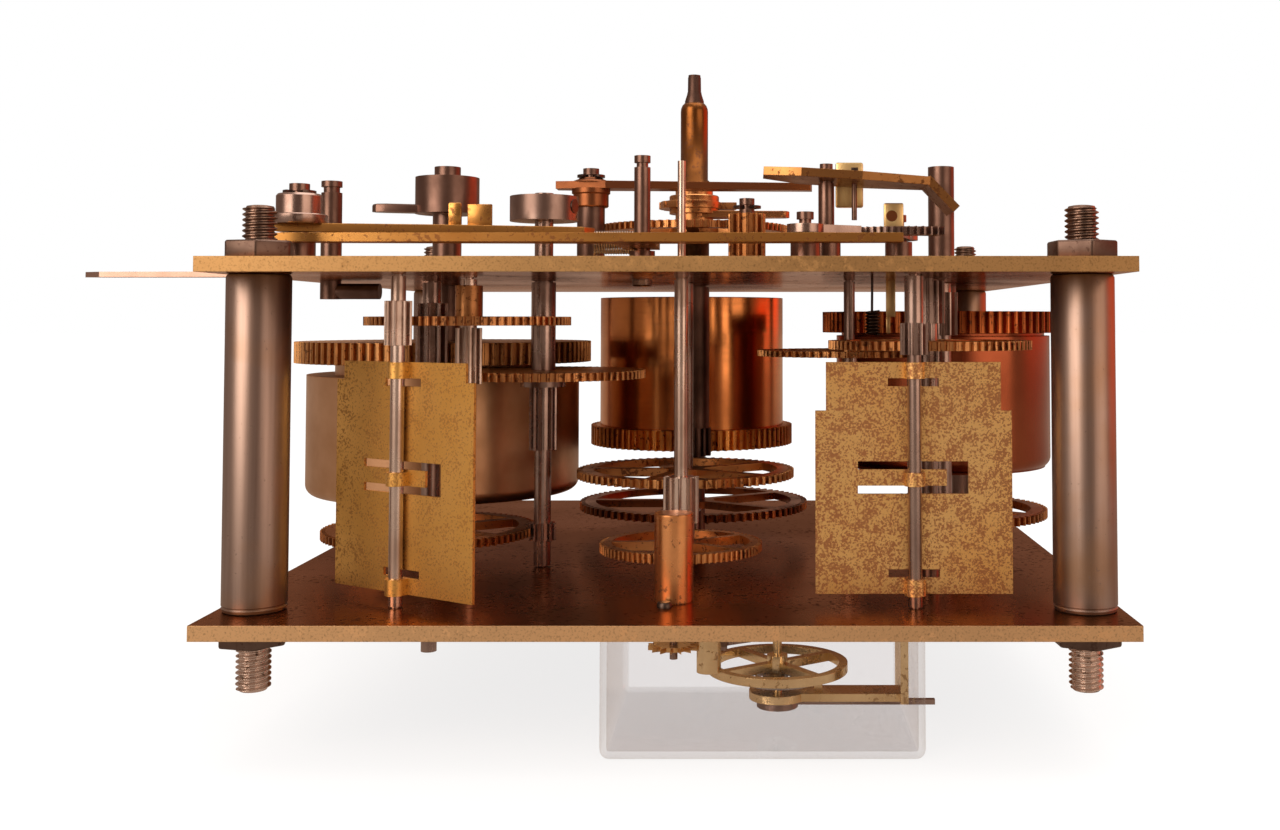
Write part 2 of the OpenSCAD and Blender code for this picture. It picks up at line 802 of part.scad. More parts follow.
module balance_wheel() {
  color("goldenrod") at(balance_at) {
    rod(staff_r, z_back_out - 0.1, z_bracket - bracket_t);
    rod(1.6, z_balance + 1, z_balance - 1.6);
    rod(1.2, z_balance - 1.6, z_balance - 3);
    translate([0, 0, z_balance - 1.3]) linear_extrude(1.3) {
      difference() {
        circle(r = balance_d / 2);
        circle(r = balance_d / 2 - 1.3);
      }
      for (i = [0, 1]) rotate(35 + 90 * i) square([balance_d - 2, 1.4], center = true);
    }
  }
}

// The hairspring's flat coil, from its collet to its stud
hair_turns = 4;
hair_r = [1.6, 6.2];
hair_t = 0.22;
hair_steps = 24;

function hair_at(i, side) =
  let (f = i / (hair_turns * hair_steps), r = hair_r[0] + (hair_r[1] - hair_r[0]) * f + side * hair_t / 2)
  [r * cos(360 / hair_steps * i), r * sin(360 / hair_steps * i)];

module hairspring() {
  last = hair_turns * hair_steps;
  color("silver") at(balance_at, z_balance - 2.9) linear_extrude(0.9) polygon(concat(
    [for (i = [0 : last]) hair_at(i, 1)],
    [for (i = [0 : last]) hair_at(last - i, -1)]));
}

z_bracket = -66.2;
bracket_t = 1.2;

module balance_bracket() {
  leg_x = box_at[0] + box_w / 2 - box_wall - 1.4;
  color("goldenrod") {
    translate([leg_x, -45, z_bracket - bracket_t]) cube([1.2, 8, z_back_out - z_bracket + bracket_t]);
    at(balance_at) translate([hair_r[1] - 0.5, -0.8, z_bracket]) cube([1.2, 0.8, z_balance - 2.9 - z_bracket]);
    difference() {
      union() {
        translate([balance_at[0], -43.5, z_bracket - bracket_t]) cube([leg_x - balance_at[0] + 1, 5, bracket_t]);
        at(balance_at) rod(4.4, z_bracket, z_bracket - bracket_t);
      }
      at(balance_at) rod(staff_r + run_gap, z_bracket + 1, z_bracket - bracket_t - 1);
    }
  }
}

module regulator() {
  color("gray") at(balance_at) {
    difference() {
      rod(3.2, z_bracket - bracket_t - 0.1, z_bracket - bracket_t - 1.3);
      rod(1.2, z_bracket, z_bracket - 5);
    }
    reach = box_at[0] + box_w / 2 + 3.3 - balance_at[0] - 2.4;
    translate([2.4, -0.5, z_bracket - bracket_t - 1]) cube([reach, 0.9, 0.8]);
  }
}

module clear_box() {
  z_floor = z_back_out - box_z;
  color("lightgray") translate([box_at[0] - box_w / 2, box_at[1] - box_l / 2, z_floor]) difference() {
    cube([box_w, box_l, box_z]);
    translate([box_wall, box_wall, box_wall]) cube([box_w - 2 * box_wall, box_l - 2 * box_wall, box_z]);
    translate([box_w - 2 * box_wall, box_l / 2 - 10, z_bracket - z_floor - 3.2]) cube([3 * box_wall, 16, 2.4]);
  }
}

// Levers on the front plate
hub_at = [-61, -36];
lever_arbor_at = [-60.6, -21];
lever_arbor_r = 1.75;
release_at = [-6.9, -22];
lifting_at = [-18.3, -1];
strike_post_at = [24.5, -26];
rack_at = [38, -14];
hook_at = [20.6, -34.4];
selector_at = [-52, pillar_dy / 2 - 9.6];
minute_post_r = 1.4;
z_warning = 5.2;
z_release = 3.2;
z_lifting = 15.6;
z_strike = 14.4;
strike_tilt = 3.5;
z_rack = 5.2;

// A post on the front plate, riveted flush into it, with a groove near its tip
module post(r, top, foot_r, foot_h) {
  rod(r, top - 2, 0);
  rod(r - 0.4, top - 1.2, top - 2 - nothing);
  rod(r, top, top - 1.2);
  rod(foot_r, foot_h, 0);
}

module lever_posts() {
  color("gray") {
    at(hub_at) post(1.6, 13, 2.6, z_warning - 0.3);
    at(release_at) post(1.4, 19.3, 2.2, z_release - 0.3);
    at(lifting_at) post(1.5, 19.5, 2.6, z_lifting - 0.3);
    at(strike_post_at) post(1.1, z_strike + 3, 2.4, 4);
    at(strike_post_at) rod(1.35, z_strike - 0.3, 4);
    at(rack_at) post(1.4, z_rack + 4.5, 2.4, z_rack - 0.3);
    at(hook_at) post(1.4, z_rack + 3.4, 2.4, z_rack - 0.3);
    at(minute_at) post(minute_post_r, 13.4, 2.2, 0.8);
    at(selector_at) post(1.8, 4.8, 3, 0.4);
  }
}

// A steel arbor through the front plate, with an arm on its lower end
arm_r = 1.35;
arm_l = 8.5;
z_arm = -4;

module locking_arm() {
  color("gray") at(lever_arbor_at) {
    rod(lever_arbor_r, 13, z_arm - arm_r);
    rod(lever_arbor_r - 0.4, 14, 13 - nothing);
    rod(lever_arbor_r, 15, 14);
    translate([0, 0, z_arm]) rotate([0, 90, 0]) cylinder(h = arm_l, r = arm_r);
  }
}

// A lever's bushing round its post
module bush(r, top, bottom, post_r) {
  difference() {
    rod(r, top, bottom);
    rod(post_r + run_gap, top + 1, bottom - 1);
  }
}

module warning_lever() {
  color("darkgoldenrod") {
    difference() {
      translate([0, 0, z_warning]) linear_extrude(lever_t) polygon([
        hub_at + [-3, 2.6], hub_at + [-3, -2.6], [-34, -33.4], [-16, -28.6], [-14.6, -26], [-16, -23.6], [-34, -28]]);
      at(hub_at) rod(1.6 + run_gap, 30, -1);
    }
    at(hub_at) bush(3.6, 11.4, z_warning + lever_t, 1.6);
    translate([-38, -32, z_warning + lever_t]) cube([2.2, 0.8, 3.8]);
    translate([-35, -31, z_warning + lever_t]) cube([4, 0.8, 3.6]);
  }
}

module release_lever() {
  front = -44.4;
  color("darkgoldenrod") difference() {
    translate([0, 0, z_release]) linear_extrude(lever_t) union() {
      polygon([[-62.5, front], [35.4, front], [35.4, front + 4], [-2.6, front + lever_w + 1.4], [-11, front + lever_w + 1.4], [-62.5, front + lever_w - 1]]);
      polygon([[-10.4, front + 4], [-3.4, front + 4], release_at + [2.9, 2], release_at + [-2.9, 2]]);
    }
    at(release_at) rod(1.4 + run_gap, 30, -1);
  }
}

module lifting_lever() {
  color("saddlebrown") difference() {
    translate([0, 0, z_lifting]) linear_extrude(lever_t) union() {
      polygon([lifting_at + [-6.4, -1.8], lifting_at + [3, -3], [23, 0.4], [23.4, 3.4], lifting_at + [3, 3], lifting_at + [-6.4, 1.8]]);
    }
    at(lifting_at) rod(1.5 + run_gap, 40, -1);
  }
}

module strike_plate() {
  color("darkgoldenrod") difference() {
    at(strike_post_at, z_strike) rotate([0, strike_tilt, 0]) translate([-strike_post_at[0], -strike_post_at[1], 0]) {
      linear_extrude(lever_t) polygon([
        [13.8, -31], [20, -33], [30, -33], [41.4, -31], [41.4, -22], [30, -19], [20, -20], [13.8, -25]]);
      translate([41.4, -26.5, lever_t / 2]) rotate([0, 43, 0]) translate([-0.6, -4.2, -lever_t / 2]) cube([7, 8.4, lever_t]);
    }
    at(strike_post_at) rod(1.1 + run_gap, 40, -1);
  }
}

rack_r = 16;
rack_teeth = 13;
rack_pitch = 4;
rack_from = -120;

// The rack: a sector with cut teeth on an arm
function polar(r, a) = [r * cos(a), r * sin(a)];

module rack() {
  color("gray") at(rack_at, z_rack) difference() {
    union() {
      linear_extrude(lever_t) polygon(concat(
        [[-2.6, 0]],
        [for (i = [0 : rack_teeth - 1], k = [0 : 2])
          polar(rack_r + [0, 1.3, 0][k], rack_from + rack_pitch * (i + [0.1, 0.45, 0.6][k]))],
        [for (i = [rack_teeth : -1 : 6]) polar(rack_r - 3, rack_from + rack_pitch * i)],
        [[2.6, 0]]));
      rod(3.4, lever_t + 0.6, 0);
    }
    rod(1.4 + run_gap, 30, -1);
  }
}

module rack_hook() {
  color("gray") at(hook_at, z_rack) difference() {
    linear_extrude(lever_t) union() {
      circle(r = 3);
      polygon([[1, -2.6], [2.8, 0], [9.4, 3.2], [9.2, 4.4], [1, 2.8]]);
    }
    rod(1.4 + run_gap, 30, -1);
  }
}

module selector_lever() {
  selector_end = -plate_w / 2 - selector_l;
  color("silver") difference() {
    translate([0, 0, 0.6]) linear_extrude(1.2) polygon([
      selector_at + [3.6, 3], selector_at + [-4, 3.4], [selector_end + 4, selector_at[1] + 2],
      [selector_end, selector_at[1] + 0.6], [selector_end + 4, selector_at[1] - 1.4],
      selector_at + [-4, -3.4], selector_at + [3.6, -3]]);
    at(selector_at) rod(1.8 + run_gap, 10, -1);
  }
}

front_plate();
back_plate();
pillars();
studs();
nuts();
chime_drum();
chime_great_wheel();
chime_winding_arbor();
chime_second_arbor();
chime_second_wheel();
chime_third_arbor();
chime_third_wheel();
chime_fourth_arbor();
chime_fourth_wheel();
chime_fly_arbor();
chime_fly();
strike_drum();
strike_great_wheel();
strike_winding_arbor();
strike_second_arbor();
strike_second_wheel();
strike_third_arbor();
strike_third_wheel();
strike_fourth_arbor();
strike_fourth_wheel();
strike_fly_arbor();
strike_fly();
time_drum();
time_great_wheel();
time_winding_arbor();
centre_arbor();
centre_wheel();
time_third_arbor();
time_third_wheel();
seconds_arbor();
seconds_wheel();
escape_arbor();
escape_sleeve();
escape_wheel();
cannon_pinion();
minute_wheel();
hour_wheel();
ratchet_clicks();
escapement_base();
pallet_lever();
balance_wheel();
hairspring();
balance_bracket();
regulator();
clear_box();
lever_posts();
locking_arm();
warning_lever();
release_lever();
lifting_lever();
strike_plate();
rack();
rack_hook();
selector_lever();
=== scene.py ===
import math

import bmesh
import bpy
from mathutils import Matrix, Vector


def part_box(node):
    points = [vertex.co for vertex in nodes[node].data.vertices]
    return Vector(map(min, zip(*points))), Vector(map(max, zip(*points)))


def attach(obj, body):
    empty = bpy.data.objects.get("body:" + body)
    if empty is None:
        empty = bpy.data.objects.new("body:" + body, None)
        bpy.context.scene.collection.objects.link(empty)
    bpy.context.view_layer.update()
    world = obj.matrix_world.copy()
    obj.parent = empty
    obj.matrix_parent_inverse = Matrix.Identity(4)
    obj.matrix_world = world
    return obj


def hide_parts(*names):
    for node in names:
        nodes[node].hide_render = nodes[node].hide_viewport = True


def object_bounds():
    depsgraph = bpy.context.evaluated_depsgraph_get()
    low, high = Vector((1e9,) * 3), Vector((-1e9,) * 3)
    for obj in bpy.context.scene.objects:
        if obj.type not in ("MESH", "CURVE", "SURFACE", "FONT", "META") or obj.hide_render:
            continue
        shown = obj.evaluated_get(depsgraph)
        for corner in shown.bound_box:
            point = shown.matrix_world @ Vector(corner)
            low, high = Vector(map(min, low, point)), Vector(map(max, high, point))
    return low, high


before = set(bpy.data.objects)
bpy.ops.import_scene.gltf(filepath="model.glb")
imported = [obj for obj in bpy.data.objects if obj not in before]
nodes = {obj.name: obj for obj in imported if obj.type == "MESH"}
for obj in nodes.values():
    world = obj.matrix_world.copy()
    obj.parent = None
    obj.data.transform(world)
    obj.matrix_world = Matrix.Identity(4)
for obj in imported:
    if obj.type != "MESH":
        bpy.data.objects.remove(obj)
cad_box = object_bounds()
scene = bpy.context.scene
mm = 0.001

# Camera and studio: the movement is seen square on from its 12 o'clock edge, a little above
# the middle of the pillars. The floor and the world are pale, and one soft window stands at
# the left, with a dark room behind the camera that the polished metal shows.
camera = bpy.data.objects.new("camera", bpy.data.cameras.new("camera"))
camera.location = Vector((12.17, -248.1, -9.15)) * mm
camera.rotation_euler = (math.radians(92.27), 0, 0)
camera.data.lens = 37.1
camera.data.shift_x = -0.0885
camera.data.shift_y = -0.114
camera.data.clip_start = 0.01
scene.collection.objects.link(camera)
scene.camera = camera
scene.view_settings.view_transform = "Standard"


class Wire:
    """A socket of a shader's nodes. Sums and products of wires add their Math nodes."""

    def __init__(self, tree, socket=None):
        self.tree = tree
        self.socket = socket

    def node(self, kind, settings, sockets, output=0):
        """Adds a node: its settings, the values or links of its sockets, and the output to use."""
        made = self.tree.nodes.new("ShaderNode" + kind)
        for name, value in settings.items():
            if name == "stops":
                ramp = made.color_ramp
                while len(ramp.elements) < len(value):
                    ramp.elements.new(1)
                for element, (position, colour) in zip(ramp.elements, value):
                    element.position = position
                    element.color = (*colour, 1)
            else:
                setattr(made, name, value)
        for name, value in sockets.items():
            if isinstance(value, Wire):
                self.tree.links.new(value.socket, made.inputs[name])
            else:
                made.inputs[name].default_value = value
        return Wire(self.tree, made.outputs[output] if made.outputs else None)

    def math(self, operation, a, b):
        return self.node("Math", {"operation": operation}, {0: a, 1: b})

    def __add__(self, other):
        return self.math("ADD", self, other)

    def __rsub__(self, other):
        return self.math("SUBTRACT", other, self)

    def __mul__(self, other):
        return self.math("MULTIPLY", self, other)

    __radd__ = __add__
    __rmul__ = __mul__

    def power(self, exponent):
        return self.math("POWER", self, exponent)

    def above(self, low, high):
        """0 below low, 1 above high, and a straight slope between them."""
        return self.node("MapRange", {}, {"Value": self, "From Min": low, "From Max": high})

    def mix(self, colour_a, colour_b):
        """The first colour where this wire is 0, and the second where it is 1."""
        sockets = {"Factor": self}
        for index, colour in ((6, colour_a), (7, colour_b)):
            sockets[index] = colour if isinstance(colour, Wire) else (*colour, 1)
        return self.node("Mix", {"data_type": "RGBA"}, sockets, 2)

    def noise(self, scale, detail=3.0, roughness=0.55):
        return self.node("TexNoise", {}, {"Vector": self, "Scale": scale, "Detail": detail,
                                          "Roughness": roughness})

    def part(self, axis):
        """One of the three numbers of a vector."""
        return self.node("SeparateXYZ", {}, {"Vector": self}, "XYZ".index(axis))

    def length_xy(self):
        """How far a point lies from the upright axis."""
        return (self.part("X").power(2) + self.part("Y").power(2)).power(0.5)

    def rays(self):
        """Which kind of ray looks at the surface, each 0 or 1."""
        kinds = ("Is Camera Ray", "Is Glossy Ray", "Is Transmission Ray")
        return [self.node("LightPath", {}, {}, kind) for kind in kinds]


def empty_tree(holder):
    """Clears a material's or the world's nodes, and gives a wire to add new ones with."""
    holder.use_nodes = True
    holder.node_tree.nodes.clear()
    return Wire(holder.node_tree)


scene.world = bpy.data.worlds.new("room")
room = empty_tree(scene.world)
look = room.node("TexCoord", {}, {}, "Generated")
ahead = look.part("Y")
sideways = look.part("X")
upwards = look.part("Z")
behind_camera = (0 - ahead).above(-0.1, 0.4)
window = (0 - sideways).above(0.22, 0.42) * (1 - (0 - sideways).above(0.7, 0.88))
strip = sideways.above(0.5, 0.6) * (1 - sideways.above(0.66, 0.76))
dark_room = (window + strip * 0.35).mix((0.15, 0.08, 0.053), (0.82, 0.62, 0.48))
red_curtain = sideways.above(0.55, 0.7) * ahead.above(-0.15, 0.1)
mirrored = behind_camera.mix(red_curtain.mix((0.3, 0.19, 0.14), (1.5, 0.2, 0.07)), dark_room)
mirrored = upwards.above(0.3, 0.8).mix(mirrored, (0.62, 0.45, 0.35))
camera_ray, glossy_ray, through_ray = room.rays()
seen = glossy_ray.mix((1.1, 1.1, 1.1), mirrored)
seen = (camera_ray + through_ray).mix(seen, (1, 1, 1))
world_light = room.node("Background", {}, {"Color": seen, "Strength": 1.0})
room.node("OutputWorld", {}, {"Surface": world_light})

# The floor is a sheet of white paper just under the movement. It keeps the soft shadow near the
# movement and is plain white further off.
floor_mesh = bmesh.new()
bmesh.ops.create_grid(floor_mesh, x_segments=1, y_segments=1, size=6)
bmesh.ops.translate(floor_mesh, verts=floor_mesh.verts, vec=(0, 0, cad_box[0][2] - 0.2 * mm))
floor_data = bpy.data.meshes.new("floor")
floor_mesh.to_mesh(floor_data)
floor_mesh.free()
floor = bpy.data.objects.new("floor", floor_data)
scene.collection.objects.link(floor)

pale_paper = bpy.data.materials.new("pale_paper")
paper = empty_tree(pale_paper)
camera_ray, glossy_ray, through_ray = paper.rays()
far_off = paper.node("TexCoord", {}, {}, "Object").length_xy().above(0.2, 0.6)
white_share = (camera_ray + through_ray) * (0.75 + far_off * 0.25) + glossy_ray
paper_colour = glossy_ray.mix((1.06, 1.06, 1.06), (0.45, 0.33, 0.25))
lit_paper = paper.node("BsdfDiffuse", {}, {"Color": (0.8, 0.8, 0.8, 1)})
white_paper = paper.node("Emission", {}, {"Color": paper_colour, "Strength": 1.0})
paper_mix = paper.node("MixShader", {}, {0: white_share, 1: lit_paper, 2: white_paper})
paper.node("OutputMaterial", {}, {"Surface": paper_mix})
floor_data.materials.append(pale_paper)


def lamp(name, place, size, watts, colour):
    """A soft rectangular lamp that is aimed at the middle of the movement."""
    light = bpy.data.lights.new(name, "AREA")
    light.shape = "RECTANGLE"
    light.size, light.size_y = size
    light.energy = watts
    light.color = colour
    holder = bpy.data.objects.new(name, light)
    holder.location = Vector(place) * mm
    towards_middle = Vector((0, 0, -25)) - Vector(place)
    holder.rotation_euler = towards_middle.to_track_quat("-Z", "Y").to_euler()
    scene.collection.objects.link(holder)


lamp("window_light", (-420, -520, 260), (0.5, 0.5), 3.2, (1, 0.78, 0.62))
lamp("fill_light", (480, -420, 60), (0.5, 0.4), 1.0, (1, 0.7, 0.52))
lamp("top_light", (60, 40, 520), (0.6, 0.5), 2.2, (1, 0.85, 0.74))


# Plates: two sheets of rolled brass, sawn square and pierced for every pivot. Their faces are
# polished and have aged to a dark coppery brown, and the sawn edges stay tan and rough.
def metal(name, light, dark, blotch=70, rough=(0.22, 0.36), specks=None, speck_size=900,
          speck_share=0.5, centre=None, grain=0.0, brushed=None, edge=None, round_edge=0.12,
          tint=(1, 1, 1)):
    """A metal: two tones in clouds, specks of tarnish, and turned rings or brushed lines.

    centre is the axis of the turned rings, brushed the stretch of the lines, edge the colour
    of the sawn sides, and round_edge the radius that softens the edges, in millimetres.
    """
    made = bpy.data.materials.new(name)
    shade = empty_tree(made)
    place = shade.node("TexCoord", {}, {}, "Object")
    clouds = place.noise(blotch, 4.0).above(0.34, 0.66)
    colour = clouds.mix(light, dark)
    rough_here = rough[0] + clouds * (rough[1] - rough[0])
    if specks:
        fine = place.noise(speck_size, 5.0, 0.62) + place.noise(speck_size / 7, 2.0) * 0.35
        bare_below = 0.78 - 0.16 * speck_share
        spotted = fine.above(bare_below, bare_below + 0.05)
        colour = (spotted * 0.85).mix(colour, specks)
        rough_here = rough_here + spotted * 0.14
    height = place.noise(2600, 2.0)
    if centre:
        to_centre = [-value * mm for value in centre]
        moved = shade.node("Mapping", {}, {"Vector": place, "Location": to_centre})
        height = shade.node("TexNoise", {"noise_dimensions": "1D"},
                            {"W": moved.length_xy(), "Scale": 5200.0, "Detail": 2.0})
    if brushed:
        lines = shade.node("Mapping", {}, {"Vector": place, "Scale": brushed})
        height = lines.noise(1.0, 3.0)
        colour = (height.above(0.4, 0.75) * 0.35).mix(colour, dark)
    if edge:
        facing = shade.node("NewGeometry", {}, {}, "Normal")
        sideways_here = 1 - facing.part("Z").power(2)
        sawn = sideways_here.above(0.4, 0.6)
        marks = place.noise(3200, 3.0).above(0.52, 0.8)
        worn = marks.mix(edge, [value * 0.45 for value in edge])
        colour = sawn.mix(colour, worn)
        rough_here = rough_here + sawn * 0.22
    softened = shade.node("Bevel", {"samples": 4}, {"Radius": round_edge * mm})
    normal = shade.node("Bump", {}, {"Strength": 0.08 + grain, "Distance": 0.05 * mm,
                                     "Height": height, "Normal": softened})
    surface = shade.node("BsdfPrincipled", {}, {"Base Color": colour, "Metallic": 1.0,
                                                "Roughness": rough_here, "Normal": normal,
                                                "Specular Tint": (*tint, 1)})
    shade.node("OutputMaterial", {}, {"Surface": surface})
    return made


def finish(material, *names):
    """Gives a CAD node's slots a better material."""
    for name in names:
        for slot in nodes[name].material_slots:
            slot.material = material


finish(metal("front_plate_brass", (0.62, 0.41, 0.19), (0.42, 0.25, 0.11), blotch=30,
             rough=(0.16, 0.28), specks=(0.1, 0.05, 0.03), speck_share=0.1,
             edge=(0.5, 0.32, 0.14), round_edge=0.1, tint=(0.75, 0.5, 0.4)), "front_plate")
finish(metal("back_plate_brass", (0.38, 0.2, 0.095), (0.22, 0.11, 0.05), blotch=25,
             rough=(0.2, 0.32), specks=(0.07, 0.03, 0.015), speck_share=0.1,
             edge=(0.68, 0.46, 0.25), round_edge=0.1, tint=(0.78, 0.56, 0.48)), "back_plate")


# Pillars: four turned bars that hold the plates apart. They are nickelled brass, pinkish grey,
# with light and dark streaks along the bars: partly the brass under the thin plating, partly a
# painted reflection.
def piece(name, shape, material, body, replaced=(), smooth=35):
    """Finishes a mesh drawn in millimetres as a piece that rides on a body."""
    bmesh.ops.scale(shape, vec=(mm, mm, mm), verts=shape.verts)
    bmesh.ops.remove_doubles(shape, verts=shape.verts, dist=1e-7)
    bmesh.ops.recalc_face_normals(shape, faces=shape.faces)
    data = bpy.data.meshes.new(name)
    shape.to_mesh(data)
    shape.free()
    data.shade_smooth()
    data.set_sharp_from_angle(angle=math.radians(smooth))
    data.materials.append(material)
    made = bpy.data.objects.new(name, data)
    scene.collection.objects.link(made)
    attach(made, body)
    if replaced:
        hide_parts(*replaced)
    return made


def turned(shape, at, *profile, steps=72):
    """Spins a profile of (radius, height) points round an upright axis."""
    corners = [shape.verts.new((at[0] + radius, at[1], height)) for radius, height in profile]
    edges = [shape.edges.new(pair) for pair in zip(corners, corners[1:])]
    bmesh.ops.spin(shape, geom=corners + edges, cent=(at[0], at[1], 0), axis=(0, 0, 1),
                   angle=math.tau, steps=steps, use_merge=True)


def nickel(name):
    """Nickel over brass: streaks along the bar, partly painted reflection; pits and warm stains.
    """
    made = bpy.data.materials.new(name)
    shade = empty_tree(made)
    place = shade.node("TexCoord", {}, {}, "Object")
    # The streaks lighten and darken the colour along the bar: partly worn plating, partly a
    # painted reflection.
    plating_and_reflection_streaks = shade.node("Mapping", {}, {"Vector": place, "Scale": (420, 420, 12)}).noise(1.0)
    stains = place.noise(55, 3.0)
    colour = plating_and_reflection_streaks.above(0.4, 0.68).mix((0.35, 0.275, 0.245), (0.23, 0.17, 0.145))
    colour = stains.above(0.52, 0.72).mix(colour, (0.29, 0.18, 0.11))
    pits = place.noise(1400, 4.0).above(0.66, 0.72)
    colour = (pits * 0.6).mix(colour, (0.22, 0.17, 0.15))
    softened = shade.node("Bevel", {"samples": 4}, {"Radius": 0.15 * mm})
    normal = shade.node("Bump", {}, {"Strength": 0.1, "Distance": 0.05 * mm,
                                     "Height": plating_and_reflection_streaks + pits * 0.4, "Normal": softened})
    surface = shade.node("BsdfPrincipled", {},
                         {"Base Color": colour, "Metallic": 1.0, "Normal": normal,
                          "Roughness": 0.34 + plating_and_reflection_streaks * 0.1 + pits * 0.2})
    shade.node("OutputMaterial", {}, {"Surface": surface})
    return made


stud_places = [(x, y) for x in (-60.7, 60.7) for y in (-53.6, 53.6)]
pillars = bmesh.new()
for at in stud_places:
    turned(pillars, at, (0, -2.2), (4.2, -2.2), (4.45, -2.35), (4.62, -2.75), (4.62, -50.2),
           (4.5, -50.3), (4.5, -50.5), (4.62, -50.6), (4.45, -51.05), (4.2, -51.2), (0, -51.2))
piece("nickelled_pillars", pillars, nickel("pillar_nickel"), "frame",
      ["pillars"])

# Studs and nuts: M5 studs run through the pillars' ends, with a cut thread, and plain steel
# nuts with chamfered corners clamp the plates. They are zinc plated and stained by handling.
# The back side's studs wear a lighter copy of the same plating, which is painted light.
plated_steel = metal("plated_steel", (0.32, 0.23, 0.19), (0.17, 0.115, 0.09), blotch=160,
                     rough=(0.26, 0.4), specks=(0.1, 0.06, 0.04), speck_share=0.2, round_edge=0.08)
# A lighter copy of the plated steel for the back side's studs alone: painted light, as all the
# studs are alike.
painted_lit_stud_steel = metal("painted_lit_stud_steel", (0.8, 0.68, 0.62), (0.5, 0.4, 0.35), blotch=160,
                    rough=(0.18, 0.3), specks=(0.2, 0.14, 0.1), speck_share=0.1, round_edge=0.08)
thread_r = 2.48
thread_pitch = 0.8
nut_height = 2.7
nut_corner_r = 5.25
back_face = -53.4  # height of the back plate's outer face
plates_middle = -26.6


def join_in(shape, one):
    """Adds a small mesh, such as one nut, to the mesh of its kind."""
    held = bpy.data.meshes.new("held")
    one.to_mesh(held)
    one.free()
    shape.from_mesh(held)
    bpy.data.meshes.remove(held)


def threaded(shape, at, radius, pitch, bottom, top, steps=28):
    """A round bar with a cut thread: one tooth of it, wound up the bar by a spin that climbs."""
    root = radius - 0.55 * pitch
    start = bottom - 1.2 * pitch
    tooth = [(root, 0), (root, 0.1), (radius, 0.42), (radius, 0.58), (root, 0.9), (root, 1)]
    corners = [shape.verts.new((at[0] + r, at[1], start + pitch * share)) for r, share in tooth]
    edges = [shape.edges.new(pair) for pair in zip(corners, corners[1:])]
    turns = math.ceil((top - start) / pitch) + 1
    bmesh.ops.spin(shape, geom=corners + edges, cent=(at[0], at[1], 0), axis=(0, 0, 1),
                   dvec=(0, 0, pitch / steps), angle=math.tau * turns, steps=steps * turns)
    bmesh.ops.remove_doubles(shape, verts=shape.verts, dist=1e-4)
    for height, outwards in ((bottom, -1), (top, 1)):
        bmesh.ops.bisect_plane(shape, geom=shape.verts[:] + shape.edges[:] + shape.faces[:],
                               plane_co=(0, 0, height), plane_no=(0, 0, outwards),
                               clear_outer=True)
    bmesh.ops.holes_fill(shape, edges=[e for e in shape.edges if e.is_boundary], sides=0)


for name, plating, bottom, top, outwards in (
        ("dial_side_studs", plated_steel, nut_height, 7.5, 1),
        ("back_side_studs", painted_lit_stud_steel, -62.4, back_face - nut_height, -1)):
    end = top if outwards > 0 else bottom
    core_end = plates_middle + outwards * 30.4  # in the thread that stands out of the nut
    core_start = plates_middle + outwards * 24.4  # on the end of the pillar
    studs = bmesh.new()
    for at in stud_places:
        one = bmesh.new()
        threaded(one, at, thread_r, thread_pitch, bottom, top)
        join_in(studs, one)
        turned(studs, at, (2.1, end - 0.05 * outwards), (1.9, end + 0.35 * outwards),
               (1.2, end + 0.48 * outwards), (0, end + 0.5 * outwards), steps=28)
        turned(studs, at, (0, core_end), (2.05, core_end), (2.05, core_start), (0, core_start),
               steps=28)
    piece(name, studs, plating, "frame", ["studs"], smooth=50)

nut_steel = metal("nut_steel", (0.165, 0.12, 0.1), (0.095, 0.062, 0.052), blotch=150,
                  rough=(0.3, 0.46), specks=(0.09, 0.055, 0.045), speck_share=0.2, speck_size=1300,
                  round_edge=0.2)
nuts = bmesh.new()
for (x, y), turn in zip(stud_places, (14, 40, 3, 25)):
    for low in (0, back_face - nut_height):
        one = bmesh.new()
        middle = Matrix.Translation((x, y, low + nut_height / 2))
        bmesh.ops.create_cone(one, cap_ends=True, segments=6, radius1=nut_corner_r,
                              radius2=nut_corner_r, depth=nut_height,
                              matrix=middle @ Matrix.Rotation(math.radians(turn), 4, "Z"))
        bmesh.ops.bevel(one, geom=one.edges[:], offset=0.35, segments=3, profile=0.5,
                        affect="EDGES", material=-1)
        join_in(nuts, one)
piece("clamp_nuts", nuts, nut_steel, "frame", ["nuts"], smooth=35)


# Arbors: drawn steel bars with cut pinion leaves, polished in the lathe and since turned a
# warm grey. Each pinion is of one piece with its arbor.
def axis_of(name):
    """The middle of a round CAD node, seen from the dial, in millimetres."""
    low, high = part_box(name)
    twice = low + high
    return twice[0] / 2 / mm, twice[1] / 2 / mm


def steel(name, light, dark, blotch=130, rough=(0.22, 0.34)):
    """Drawn steel, with fine lines along the bar."""
    return metal(name, light, dark, blotch, rough, brushed=(700, 700, 60), round_edge=0.06)


arbors = [name for name in nodes if name.endswith("_arbor")]
finish(steel("arbor_steel", (0.42, 0.33, 0.3), (0.23, 0.165, 0.145)),
       *arbors, "ratchet_clicks", "rack", "rack_hook", "pallet_lever", "regulator")
finish(steel("pale_arbor_steel", (0.72, 0.62, 0.57), (0.45, 0.35, 0.3)),
       "chime_fly_arbor", "seconds_arbor", "chime_fourth_arbor")
brown_steel = steel("brown_steel", (0.23, 0.15, 0.125), (0.13, 0.08, 0.065), rough=(0.28, 0.42))
finish(brown_steel, "chime_winding_arbor", "strike_winding_arbor", "time_winding_arbor",
       "lever_posts", "locking_arm")
black_steel = steel("black_steel", (0.17, 0.105, 0.085), (0.09, 0.055, 0.045), rough=(0.34, 0.5))
finish(black_steel, "centre_arbor")
